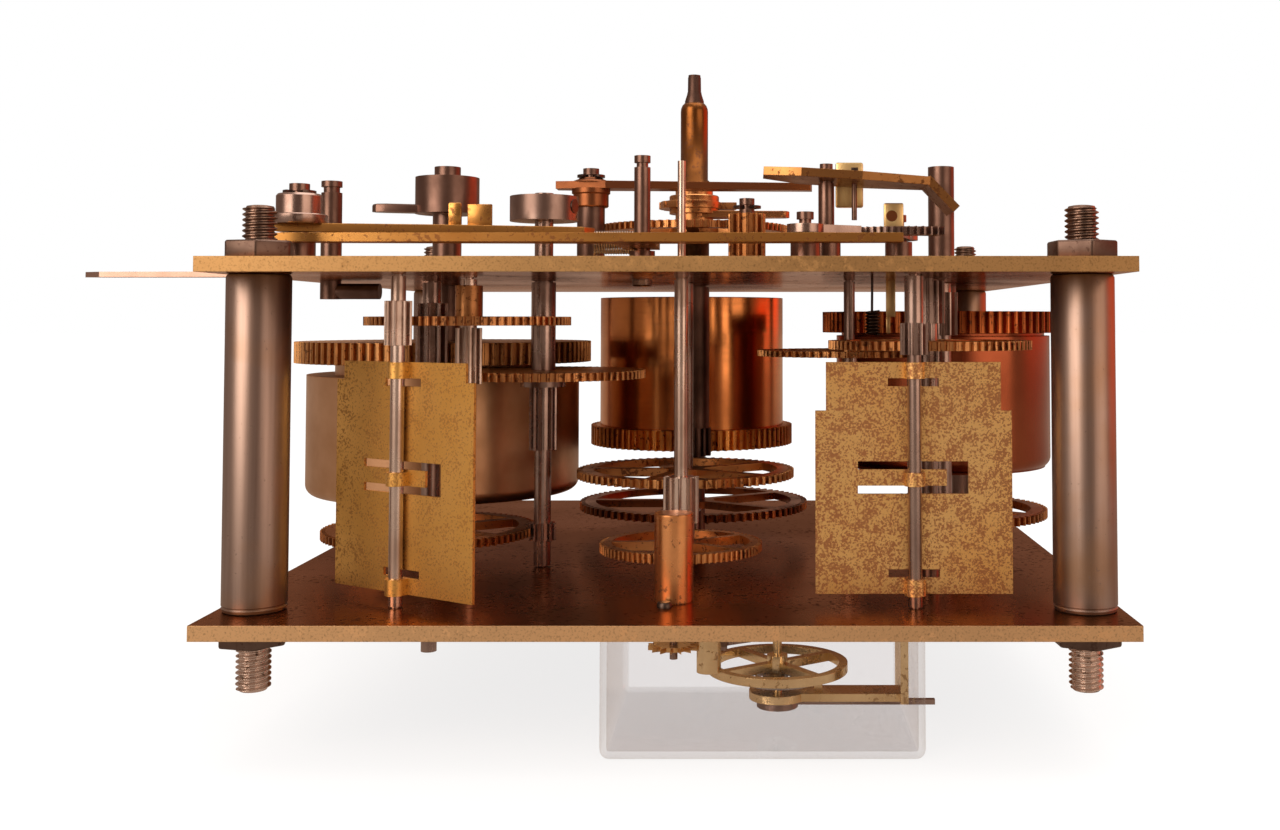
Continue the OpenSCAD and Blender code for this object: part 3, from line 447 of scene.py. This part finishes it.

# Wheels: stamped or turned brass, cut with fine teeth. The lathe left rings round each middle,
# and the brass has gone brown in clouds. The darker tones of the wheels deep in the movement
# are painted shade.
# Light and dark tone of each wheel; the darker ones deep in the movement are painted shade.
wheel_tones_and_shade = {
    "chime_great_wheel": ((0.62, 0.34, 0.14), (0.38, 0.18, 0.07)),
    "chime_second_wheel": ((0.46, 0.2, 0.07), (0.26, 0.1, 0.035)),
    "chime_third_wheel": ((0.66, 0.34, 0.14), (0.42, 0.19, 0.07)),
    "chime_fourth_wheel": ((0.64, 0.33, 0.14), (0.4, 0.18, 0.07)),
    "strike_great_wheel": ((0.6, 0.19, 0.06), (0.36, 0.1, 0.03)),
    "strike_second_wheel": ((0.5, 0.23, 0.09), (0.28, 0.12, 0.045)),
    "strike_third_wheel": ((0.56, 0.29, 0.12), (0.34, 0.16, 0.06)),
    "strike_fourth_wheel": ((0.62, 0.33, 0.14), (0.4, 0.18, 0.07)),
    "time_great_wheel": ((0.92, 0.44, 0.12), (0.62, 0.27, 0.07)),
    "centre_wheel": ((0.38, 0.15, 0.055), (0.2, 0.07, 0.03)),
    "time_third_wheel": ((0.72, 0.4, 0.16), (0.45, 0.21, 0.08)),
    "seconds_wheel": ((0.76, 0.42, 0.17), (0.48, 0.23, 0.09)),
    "hour_wheel": ((0.6, 0.3, 0.12), (0.38, 0.17, 0.06)),
    "minute_wheel": ((0.58, 0.29, 0.11), (0.34, 0.15, 0.055)),
    "escape_wheel": ((0.8, 0.52, 0.22), (0.55, 0.32, 0.12)),
    "cannon_pinion": ((0.24, 0.095, 0.026), (0.12, 0.045, 0.013)),
}
wheel_brass = {}
for name, (light, dark) in wheel_tones_and_shade.items():
    wheel_brass[name] = metal(name + "_brass", light, dark, blotch=90, rough=(0.26, 0.42),
                              specks=(0.14, 0.06, 0.03), speck_share=0.12, speck_size=1300,
                              centre=(*axis_of(name), 0), grain=0.12, round_edge=0.08)
    finish(wheel_brass[name], name)

# Drums: drawn brass cans that hold the mainsprings. The chime drum is pale and lacquered, the
# others are bare, polished and gone coppery.
finish(metal("chime_drum_brass", (0.62, 0.39, 0.24), (0.44, 0.25, 0.13), blotch=60,
             rough=(0.3, 0.42), round_edge=0.3), "chime_drum")
finish(metal("strike_drum_brass", (0.32, 0.09, 0.04), (0.19, 0.045, 0.02), blotch=40,
             rough=(0.2, 0.32), round_edge=0.3), "strike_drum")
finish(metal("time_drum_brass", (0.84, 0.36, 0.12), (0.5, 0.19, 0.06), blotch=45,
             rough=(0.14, 0.24), brushed=(90, 90, 2600), round_edge=0.3), "time_drum")

# Flies: blades of thin sheet brass, bent round their arbors in straps. They turn fast in the
# air, and have spotted all over in a fine brown tarnish.
finish(metal("clean_fly_brass", (0.88, 0.56, 0.18), (0.68, 0.4, 0.1), blotch=60,
             rough=(0.36, 0.46), specks=(0.42, 0.22, 0.07), speck_size=2800, speck_share=0.45,
             round_edge=0.05), "chime_fly")
finish(metal("spotted_fly_brass", (0.94, 0.66, 0.28), (0.78, 0.5, 0.18), blotch=60,
             rough=(0.36, 0.46), specks=(0.34, 0.14, 0.07), speck_size=3300, speck_share=0.75,
             round_edge=0.05), "strike_fly")

# Levers on the front plate: stamped from sheet brass and steel, with rolling marks along them.
# They swing on steel posts.
lever_brass = metal("lever_brass", (0.6, 0.33, 0.1), (0.36, 0.18, 0.05), rough=(0.24, 0.4),
                    specks=(0.2, 0.09, 0.04), speck_share=0.15, speck_size=1300,
                    brushed=(30, 900, 900))
finish(lever_brass, "release_lever")
finish(metal("strike_plate_brass", (0.42, 0.22, 0.08), (0.26, 0.12, 0.04), rough=(0.26, 0.4),
             specks=(0.12, 0.05, 0.02), speck_share=0.15, speck_size=1300), "strike_plate")
dark_lever_brass = metal("dark_lever_brass", (0.36, 0.14, 0.055), (0.2, 0.075, 0.035),
                         rough=(0.26, 0.4))
finish(dark_lever_brass, "lifting_lever")
finish(metal("selector_steel", (0.6, 0.44, 0.38), (0.38, 0.26, 0.21), blotch=60,
             rough=(0.26, 0.36)), "selector_lever")

# Platform escapement: a bright brass plate behind the back plate, with a balance on a bracket.
# The arbor of the escape wheel turns in a thick brass sleeve that stands on the back plate.
finish(metal("platform_brass", (0.92, 0.76, 0.46), (0.7, 0.52, 0.27), blotch=120,
             rough=(0.18, 0.3), specks=(0.4, 0.26, 0.12), speck_share=0.05, round_edge=0.1),
       "escapement_base", "balance_wheel", "balance_bracket")
finish(metal("sleeve_brass", (0.88, 0.43, 0.18), (0.58, 0.26, 0.1), blotch=130,
             rough=(0.24, 0.36), specks=(0.2, 0.09, 0.05), speck_share=0.12, round_edge=0.4),
       "escape_sleeve")
finish(metal("spring_steel", (0.5, 0.47, 0.46), (0.3, 0.28, 0.28), blotch=130,
             rough=(0.2, 0.3), round_edge=0.04), "hairspring")


# Cover: a box of clear moulded plastic that keeps dust off the balance. Its edges are rounded,
# and its rim is sprung over the platform.
def clear_plastic(name):
    """Clear moulded plastic, faintly grey, with hairline scratches in its gloss."""
    made = bpy.data.materials.new(name)
    shade = empty_tree(made)
    place = shade.node("TexCoord", {}, {}, "Object")
    scratches = place.noise(700, 4.0).above(0.62, 0.7)
    rim = shade.node("LayerWeight", {}, {"Blend": 0.35}, "Facing")
    gloss = shade.node("BsdfGlossy", {},
                       {"Color": (0.9, 0.92, 0.95, 1), "Roughness": 0.03 + scratches * 0.1})
    through = shade.node("BsdfTransparent", {}, {"Color": (0.985, 0.978, 0.978, 1)})
    surface = shade.node("MixShader", {}, {0: rim * 0.35 + scratches * 0.03, 1: through, 2: gloss})
    shade.node("OutputMaterial", {}, {"Surface": surface})
    return made


low, high = (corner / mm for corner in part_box("clear_box"))
cover = bmesh.new()
bmesh.ops.create_cube(cover, size=1)
bmesh.ops.scale(cover, vec=high - low, verts=cover.verts)
bmesh.ops.translate(cover, vec=(high + low) / 2, verts=cover.verts)
bmesh.ops.delete(cover, geom=[f for f in cover.faces if f.normal.z > 0.5], context="FACES_ONLY")
bmesh.ops.bevel(cover, geom=[e for e in cover.edges if not e.is_boundary], offset=1.4,
                segments=5, profile=0.5, affect="EDGES", material=-1)
bmesh.ops.solidify(cover, geom=cover.faces[:], thickness=1.0)
piece("dust_cover", cover, clear_plastic("cover_plastic"), "frame",
      ["clear_box"], smooth=40)


# Small fastenings on the front plate: spring clips in the grooves of the posts, the screw in the
# chime cam, and riveted ends under the plate. They are bright or blued steel, pressed on cold.
bright_steel = metal("bright_steel", (0.62, 0.57, 0.54), (0.4, 0.35, 0.32), blotch=300,
                     rough=(0.18, 0.3), round_edge=0.05)
blued_steel = metal("blued_steel", (0.12, 0.09, 0.08), (0.06, 0.045, 0.04), blotch=300,
                    rough=(0.3, 0.42), round_edge=0.05)
bush_post = (-61, -36)
release_post = (-6.9, -22)
lifting_post = (-18.3, -1)
strike_post = (24.5, -26)
minute_post = (11, -6.19)


def ring_part(shape, at, inner, outer, bottom, top, angle, turn, steps=28):
    """A flat ring with a mouth, such as a spring clip."""
    start = Matrix.Translation((at[0], at[1], 0)) @ Matrix.Rotation(math.radians(turn), 4, "Z")
    section = [(inner, bottom), (outer, bottom), (outer, top), (inner, top)]
    corners = [shape.verts.new(start @ Vector((r, 0, z))) for r, z in section]
    bmesh.ops.spin(shape, geom=[shape.faces.new(corners)], cent=(at[0], at[1], 0), axis=(0, 0, 1),
                   angle=math.radians(angle), steps=steps)


def straight_wire(shape, start, end, radius, sides=12):
    """A piece of round wire or a pin from one point to another."""
    start, end = Vector(start), Vector(end)
    along = (end - start).to_track_quat("Z", "Y").to_matrix().to_4x4()
    bmesh.ops.create_cone(shape, cap_ends=True, segments=sides, radius1=radius, radius2=radius,
                          depth=(end - start).length,
                          matrix=Matrix.Translation((start + end) / 2) @ along)


clips = bmesh.new()
for at, inner, height in ((bush_post, 1.25, 11.45), (strike_post, 0.75, 15.75),
                          (minute_post, 1.05, 11.6), (lifting_post, 1.15, 17.85)):
    ring_part(clips, at, inner, 2.6, height, height + 0.45, angle=300, turn=-60)
piece("spring_clips", clips, blued_steel, "frame", smooth=40)

rivets = bmesh.new()
turned(rivets, release_post, (0, -2.1), (1.7, -2.1), (1.75, -2.9), (1.55, -3.15), (0, -3.2),
       steps=32)
piece("riveted_end", rivets, bright_steel, "frame", smooth=40)
screw_end = bmesh.new()
turned(screw_end, (-0.9, -52), (0, -51.3), (1.15, -51.3), (1.15, -50.7), (0.9, -50.4),
       (0, -50.4), steps=24)
piece("screw_end", screw_end, blued_steel, "frame", smooth=40)

cam_screw = bmesh.new()
straight_wire(cam_screw, (-19.8, -20.8, 10.7), (-18.55, -21.25, 10.7), 1.25, sides=24)
piece("cam_screw_hole", cam_screw, blued_steel, "chime_third", smooth=40)


# Warning lever: a stamped brass arm with two bent-up tabs, riveted to a steel bush with a flange.
# It turns on its post under a spring clip.
def stamped(shape, outline, bottom, top, bevel=0.15):
    """A part stamped from sheet: its outline is a list of (x, y), and its top edge is eased."""
    face = shape.faces.new([shape.verts.new((x, y, bottom)) for x, y in outline])
    lifted = bmesh.ops.extrude_face_region(shape, geom=[face])["geom"]
    bmesh.ops.translate(shape, verts=[v for v in lifted if isinstance(v, bmesh.types.BMVert)],
                        vec=(0, 0, top - bottom))
    rim = [e for e in lifted if isinstance(e, bmesh.types.BMEdge)]
    bmesh.ops.bevel(shape, geom=rim, offset=bevel, segments=2, profile=0.5, affect="EDGES",
                    material=-1)


def block(shape, low, high, bevel=0.2):
    """A small bar or tab between two corners, with eased edges."""
    low, high = Vector(low), Vector(high)
    one = bmesh.new()
    bmesh.ops.create_cube(one, size=1)
    bmesh.ops.scale(one, vec=high - low, verts=one.verts)
    bmesh.ops.translate(one, vec=(high + low) / 2, verts=one.verts)
    bmesh.ops.bevel(one, geom=one.edges[:], offset=bevel, segments=2, profile=0.5,
                    affect="EDGES", material=-1)
    join_in(shape, one)


warning_arm = bmesh.new()
stamped(warning_arm, ((-64, -33.4), (-64, -38.6), (-34, -33.4), (-16, -28.6), (-14.6, -26),
                      (-16, -23.6), (-34, -28)), 5.2, 6.6)
block(warning_arm, (-38, -32, 6.5), (-35.8, -31.2, 10.4), bevel=0.3)
block(warning_arm, (-35, -31, 6.5), (-31, -30.2, 10.2), bevel=0.12)
piece("warning_arm", warning_arm, lever_brass, "warning_lever", ["warning_lever"])
warning_bush = bmesh.new()
turned(warning_bush, bush_post, (1.65, 6.5), (4.3, 6.5), (4.4, 6.7), (4.4, 7.9), (4.25, 8.05),
       (3.6, 8.1), (3.6, 11.0), (3.3, 11.35), (1.65, 11.4), (1.65, 6.5))
piece("warning_bush", warning_bush, steel("bush_steel", (0.4, 0.31, 0.28), (0.24, 0.17, 0.15)),
      "warning_lever", smooth=30)

# Lifting lever's boss: a turned brass collar under the lever and a domed washer over it, on the
# post beside the hand pipe.
boss = bmesh.new()
turned(boss, lifting_post, (1.6, 12.2), (3.1, 12.2), (3.3, 12.4), (3.3, 14.6), (3.6, 14.8),
       (3.6, 15.7), (1.6, 15.7), (1.6, 12.2))
turned(boss, lifting_post, (1.6, 16.9), (3.5, 16.9), (3.3, 17.15), (2.4, 17.5), (2.1, 17.75),
       (1.6, 17.8), (1.6, 16.9))
piece("lifting_boss", boss, dark_lever_brass, "lifting_lever", smooth=30)

# Hand pipe and its tip: the pipe's end is turned round, and the arbor in it ends in a dark steel
# taper for the minute hand.
hand_axis = (0.5, 12)
round_end_from = 31  # height from which the pipe is turned anew
pipe = bmesh.new()
pipe.from_mesh(nodes["cannon_pinion"].data)
bmesh.ops.scale(pipe, vec=(1 / mm, 1 / mm, 1 / mm), verts=pipe.verts)
bmesh.ops.remove_doubles(pipe, verts=pipe.verts, dist=1e-4)
bmesh.ops.bisect_plane(pipe, geom=pipe.verts[:] + pipe.edges[:] + pipe.faces[:],
                       plane_co=(0, 0, round_end_from), plane_no=(0, 0, 1), clear_outer=True)
turned(pipe, hand_axis, (2.7, round_end_from), (2.7, 32.3), (2.63, 32.9), (2.4, 33.5),
       (2.05, 33.9), (1.7, 34.08), (1.6, 34.1), (1.6, round_end_from), steps=96)
piece("hand_pipe", pipe, wheel_brass["cannon_pinion"], "centre",
      ["cannon_pinion"], smooth=30)
tip = bmesh.new()
turned(tip, hand_axis, (0, 33.9), (1.9, 33.9), (1.88, 34.4), (1.5, 35.6), (1.32, 36.4),
       (1.28, 39.1), (1.1, 39.5), (0, 39.55), steps=48)
piece("hand_taper", tip, black_steel, "centre", smooth=40)

# Hour snail and its arm: a stepped brass cam that tells the rack how many blows to strike. It is
# pressed on the hour pipe.
snail = bmesh.new()
hours = 12
outline = []
for hour in range(hours):
    radius = 8.4 - 3.2 * hour / (hours - 1)
    for share in (0.02, 0.34, 0.66, 0.98):
        angle = math.tau * (hour + share) / hours
        outline.append((hand_axis[0] + radius * math.cos(angle),
                        hand_axis[1] + radius * math.sin(angle)))
stamped(snail, outline, 13, 14.4)
arm_end = (17.6, 11.2)
arm = [(0.5, 8.6), (16.5, 9.6)]
for degrees in range(0, 181, 30):
    angle = math.radians(degrees)
    arm.append((arm_end[0] + 1.7 * math.sin(angle), arm_end[1] - 1.7 * math.cos(angle)))
arm += [(16.5, 12.9), (0.5, 15.4)]
stamped(snail, arm, 11.2, 12.5)
turned(snail, hand_axis, (3.65, 12), (4.9, 12), (4.9, 15.4), (4.7, 15.6), (3.65, 15.6),
       (3.65, 12), steps=48)
piece("hour_snail", snail, wheel_brass["hour_wheel"], "hour_wheel", smooth=30)

# Strike plate's fittings: a bright bent tab with a slot behind it, a thin pin under it, and a tab
# with a round hole on the rack. The tabs are clean stamped brass, in the solids' own plain tone.
# The slot and the hole are thin dark sheets on the tabs' faces: painted shade.
bright_brass = bpy.data.materials["bright_brass"]
tab = bmesh.new()
block(tab, (26.5, -19.5, 10.6), (31.3, -18.5, 18.5), bevel=0.35)
piece("strike_tab", tab, bright_brass, "strike_plate")
# A thin dark sheet on the tab's face, painted as the shade in its slot.
painted_slot_shade = bmesh.new()
block(painted_slot_shade, (29.2, -19.55, 17), (30.4, -19.45, 17.6), bevel=0.03)
piece("strike_tab_slot_shade", painted_slot_shade, blued_steel, "strike_plate")
strike_pin = bmesh.new()
straight_wire(strike_pin, (29.3, -25, 8), (29.3, -25, 14.6), 0.45, sides=16)
piece("strike_pin", strike_pin, brown_steel, "strike_plate", smooth=60)
rack_tab = bmesh.new()
block(rack_tab, (34.2, -26.4, 6.2), (37.5, -25.6, 10.8), bevel=0.25)
piece("rack_tab", rack_tab, bright_brass, "rack")
# A thin dark disc on the tab's face, painted as the shade in its round hole.
painted_hole_shade = bmesh.new()
straight_wire(painted_hole_shade, (35.5, -26.42, 8.6), (35.5, -26.3, 8.6), 0.95, sides=24)
piece("rack_tab_hole_shade", painted_hole_shade, dark_lever_brass, "rack", smooth=40)

# Winding finger: a flat steel finger with a rounded end on the collar of the chime winding arbor.
finger = bmesh.new()
stamped(finger, ((-53, 8.4), (-59, 6.6), (-61, 6.9), (-62, 8), (-61.6, 9.3), (-60, 10.2),
                 (-53, 12.4)), 12.1, 13.7, bevel=0.4)
piece("winding_finger", finger, brown_steel, "chime_winding", smooth=30)


# Springs: fine coils of hard steel wire. One draws the release lever back, and the other hangs
# beside a brass strip under the front plate, where the strike train is let go.
def coil(shape, start, length, radius, wire, turns, steps=16, sides=8, upright=False):
    """A close coil of round wire along X, or downwards where it is upright."""
    one = bmesh.new()
    on_coil = Matrix.Translation((0, 0, radius))
    bmesh.ops.create_circle(one, segments=sides, radius=wire,
                            matrix=on_coil @ Matrix.Rotation(math.pi / 2, 4, "Y"))
    bmesh.ops.rotate(one, verts=one.verts, cent=(0, 0, radius),
                     matrix=Matrix.Rotation(math.pi / 2, 3, "Z"))
    bmesh.ops.spin(one, geom=one.verts[:] + one.edges[:], cent=(0, 0, 0), axis=(1, 0, 0),
                   dvec=(length / (turns * steps), 0, 0), angle=math.tau * turns,
                   steps=steps * turns)
    bmesh.ops.holes_fill(one, edges=[e for e in one.edges if e.is_boundary], sides=0)
    if upright:
        bmesh.ops.rotate(one, verts=one.verts, cent=(0, 0, 0),
                         matrix=Matrix.Rotation(math.pi / 2, 3, "Y"))
    bmesh.ops.translate(one, verts=one.verts, vec=start)
    join_in(shape, one)


spring = bmesh.new()
coil(spring, (-15.6, -17.5, 4.64), 8, 1.9, 0.2, 18)
straight_wire(spring, (-7.6, -17.5, 6.5), (-6.9, -20.7, 5.2), 0.2)
straight_wire(spring, (-15.6, -17.5, 6.5), (-15.9, -15.4, -0.1), 0.2)
piece("release_spring", spring, bright_steel, "frame", smooth=60)
strip = bmesh.new()
block(strip, (34.9, -22.4, -8.4), (36.5, -21.8, -2.1), bevel=0.12)
block(strip, (34.9, -22.3, -11.2), (35.6, -21.9, -8.2), bevel=0.12)
piece("letting_go_strip", strip, bright_brass, "frame")
hung_spring = bmesh.new()
coil(hung_spring, (32.6, -22, -7.4), 4, 1.05, 0.22, 7, upright=True)
straight_wire(hung_spring, (32.6, -20.95, -7.4), (32.6, -21.6, -2.1), 0.22)
piece("letting_go_spring", hung_spring, blued_steel, "frame", smooth=60)
